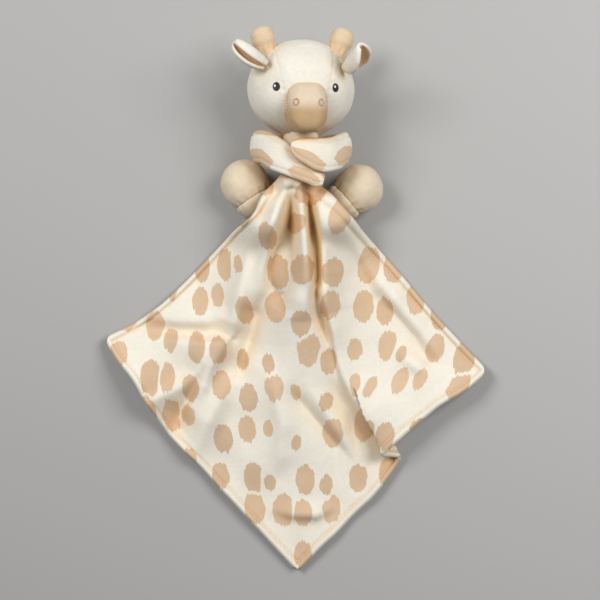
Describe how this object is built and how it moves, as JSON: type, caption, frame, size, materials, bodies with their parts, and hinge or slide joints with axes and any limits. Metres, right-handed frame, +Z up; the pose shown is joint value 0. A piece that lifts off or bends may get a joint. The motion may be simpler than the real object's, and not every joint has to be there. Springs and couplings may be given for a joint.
{
  "type": "comfort blanket lovey",
  "caption": "Plush farm animal's head and paws on a square spotted velour comfort blanket, with a band of the same cloth wound round the neck. It lies flat on its back.",
  "frame": {"origin": "middle of the footprint, on the surface that the toy lies on", "axes": "+Z up from the surface, +Y towards the crown of the head, +X towards the toy's arm on the right of the view from above"},
  "size_m": [0.3745, 0.5297, 0.1082],
  "materials": {
    "cream_plush": "short cut pile, matte",
    "tan_plush": "short cut pile, matte",
    "hoof_plush": "short cut pile, matte",
    "printed_velour": "short velour with a tan spot print, soft sheen",
    "plain_backing": "plain knitted backing, matte",
    "eye_thread": "satin-stitched embroidery thread, slight sheen",
    "nostril_thread": "embroidery thread, slight sheen",
    "fibre_filling": "loose polyester fibre"
  },
  "bodies": {
    "root": {"body_skin": "cream_plush", "body_filling": "fibre_filling", "neck_wrap": "printed_velour", "blanket_front": "printed_velour", "blanket_back": "plain_backing"},
    "head": {"head_skin": "cream_plush", "head_filling": "fibre_filling", "muzzle_skin": "tan_plush", "left_eye": "eye_thread", "right_eye": "eye_thread", "left_nostril": "nostril_thread", "right_nostril": "nostril_thread", "left_horn_skin": "tan_plush", "left_horn_filling": "fibre_filling", "right_horn_skin": "tan_plush", "right_horn_filling": "fibre_filling"},
    "left_ear": {"left_ear_outer": "cream_plush", "left_ear_lining": "tan_plush"},
    "right_ear": {"right_ear_outer": "cream_plush", "right_ear_lining": "tan_plush"},
    "left_arm": {"left_arm_sleeve": "cream_plush", "left_hoof": "hoof_plush", "left_arm_filling": "fibre_filling"},
    "right_arm": {"right_arm_sleeve": "cream_plush", "right_hoof": "hoof_plush", "right_arm_filling": "fibre_filling"}
  },
  "joints": [
    {"name": "head_turn", "type": "hinge", "parent": "root", "child": "head", "pos_m": [0.0046, 0.2062, 0.0465], "axis": [0, 1, 0], "range_deg": [-30, 30], "stiffness_Nm_per_rad": 0.08},
    {"name": "left_ear_flap", "type": "hinge", "parent": "head", "child": "left_ear", "pos_m": [-0.02924, 0.22576, 0.07918], "axis": [-0.6103, -0.655, -0.4456], "range_deg": [-20, 20], "stiffness_Nm_per_rad": 0.01},
    {"name": "right_ear_flap", "type": "hinge", "parent": "head", "child": "right_ear", "pos_m": [0.04574, 0.22595, 0.07025], "axis": [-0.637, -0.5503, 0.5397], "range_deg": [-15, 20], "stiffness_Nm_per_rad": 0.01},
    {"name": "left_arm_lift", "type": "hinge", "parent": "root", "child": "left_arm", "pos_m": [-0.03142, 0.0862, 0.02158], "axis": [0.848, 0.5299, 0], "range_deg": [0, 16], "stiffness_Nm_per_rad": 0.03},
    {"name": "right_arm_lift", "type": "hinge", "parent": "root", "child": "right_arm", "pos_m": [0.03475, 0.088, 0.02158], "axis": [0.6691, -0.7431, 0], "range_deg": [0, 24], "stiffness_Nm_per_rad": 0.03}
  ]
}
